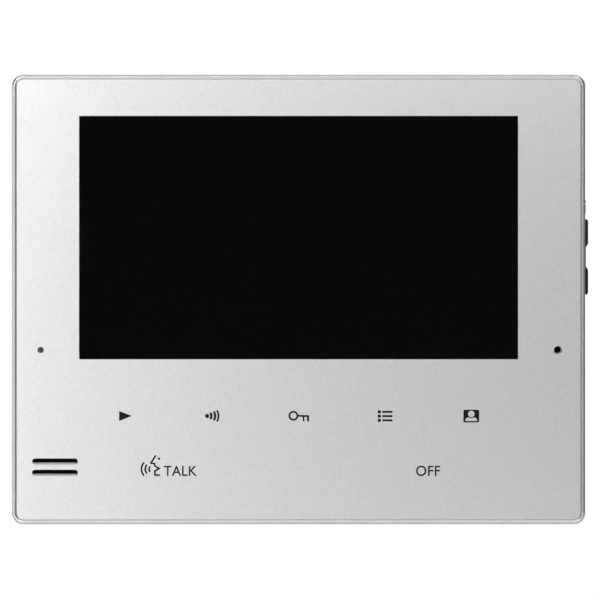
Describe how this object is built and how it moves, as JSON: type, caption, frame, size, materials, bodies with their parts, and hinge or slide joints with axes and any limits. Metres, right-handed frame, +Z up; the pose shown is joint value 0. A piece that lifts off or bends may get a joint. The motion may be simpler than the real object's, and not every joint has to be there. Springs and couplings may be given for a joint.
{
  "type": "video intercom monitor",
  "caption": "Slim wall-hung video door intercom monitor: silver face with a black screen, touch keys, speaker slots, a volume rocker and a hook-on steel wall bracket.",
  "frame": {"origin": "centre of the wall bracket's back face, on the wall plane", "axes": "+X right and +Z up as seen from the front; the screen faces -Y and the wall is at y = 0"},
  "size_m": [0.2032, 0.0224, 0.1584],
  "materials": {
    "galvanised_steel": "matt spangled zinc",
    "casing_black": "fine moulded texture",
    "silver_paint": "satin metallic paint",
    "silver_panel": "satin metallic paint with a fine grain",
    "screen_black": "polished black-tinted acrylic",
    "foam": "closed-cell foam",
    "lcd_glass": "polished dark glass",
    "light_guide": "polished clear acrylic",
    "tinned_steel": "smooth tin plate",
    "flat_cable": "polyimide film",
    "connector": "moulded nylon",
    "circuit_board": "satin solder mask",
    "chip": "moulded epoxy",
    "ferrite": "sintered",
    "aluminium_can": "drawn",
    "speaker_cone": "pressed paper",
    "wire": "soft sheath",
    "rubber": "moulded rubber",
    "indicator_lens": "smoked polycarbonate",
    "led": "clear resin",
    "screw_steel": "zinc plated",
    "silicone": "moulded silicone",
    "key_black": "semi-gloss moulded",
    "terminal": "moulded polyamide",
    "release_orange": "moulded",
    "label": "satin film, blank"
  },
  "bodies": {
    "bracket": {"wall_bracket": "galvanised_steel"},
    "monitor": {"rear_casing": "casing_black", "front_frame": "silver_paint", "face_panel": "silver_panel", "display_window": "screen_black", "door_terminal": "terminal", "power_terminal": "terminal", "screen_gasket": "foam", "lcd_glass": "lcd_glass", "lcd_light_guide": "light_guide", "lcd_tray": "tinned_steel", "lcd_bracket": "galvanised_steel", "lcd_flat_cable": "flat_cable", "lcd_connector": "connector", "touch_key_board": "circuit_board", "touch_key_cable": "flat_cable", "touch_key_connector": "connector", "main_board": "circuit_board", "processor_chip": "chip", "memory_chip": "chip", "shield_can": "tinned_steel", "power_inductor": "ferrite", "power_capacitor": "aluminium_can", "speaker_gasket": "foam", "speaker_frame": "tinned_steel", "speaker_cone": "speaker_cone", "speaker_magnet": "ferrite", "speaker_lead": "wire", "microphone_boot": "rubber", "microphone_capsule": "aluminium_can", "microphone_lead": "wire", "indicator_light_pipe": "indicator_lens", "indicator_led": "led", "indicator_board": "circuit_board", "rocker_pin": "screw_steel", "volume_key_board": "circuit_board", "volume_dome_upper": "silicone", "volume_dome_lower": "silicone", "casing_screw_1": "screw_steel", "casing_screw_2": "screw_steel", "casing_screw_3": "screw_steel", "casing_screw_4": "screw_steel", "lcd_screw_1": "screw_steel", "lcd_screw_2": "screw_steel", "lcd_screw_3": "screw_steel", "lcd_screw_4": "screw_steel", "board_screw_1": "screw_steel", "board_screw_2": "screw_steel", "board_screw_3": "screw_steel", "board_screw_4": "screw_steel", "speaker_screw_1": "screw_steel", "speaker_screw_2": "screw_steel", "rating_label": "label"},
    "volume_key": {"volume_rocker": "key_black"},
    "door_release_1": {"door_release_1": "release_orange"},
    "door_release_2": {"door_release_2": "release_orange"},
    "power_release_1": {"power_release_1": "release_orange"},
    "power_release_2": {"power_release_2": "release_orange"}
  },
  "joints": [
    {"name": "monitor_lift", "type": "slide", "parent": "bracket", "child": "monitor", "axis": [0, 0, 1], "range_m": [0, 0.008]},
    {"name": "volume_rock", "type": "hinge", "parent": "monitor", "child": "volume_key", "pos_m": [0.0972, -0.0086, 0.015], "axis": [0, -1, 0], "range_deg": [-2.5, 2.5], "stiffness_Nm_per_rad": 0.4, "deforming": ["volume_dome_upper", "volume_dome_lower"]},
    {"name": "door_press_1", "type": "slide", "parent": "monitor", "child": "door_release_1", "axis": [0, -1, 0], "range_m": [0, 0.0008], "stiffness_N_per_m": 1200},
    {"name": "door_press_2", "type": "slide", "parent": "monitor", "child": "door_release_2", "axis": [0, -1, 0], "range_m": [0, 0.0008], "stiffness_N_per_m": 1200},
    {"name": "power_press_1", "type": "slide", "parent": "monitor", "child": "power_release_1", "axis": [0, -1, 0], "range_m": [0, 0.0008], "stiffness_N_per_m": 1200},
    {"name": "power_press_2", "type": "slide", "parent": "monitor", "child": "power_release_2", "axis": [0, -1, 0], "range_m": [0, 0.0008], "stiffness_N_per_m": 1200}
  ]
}
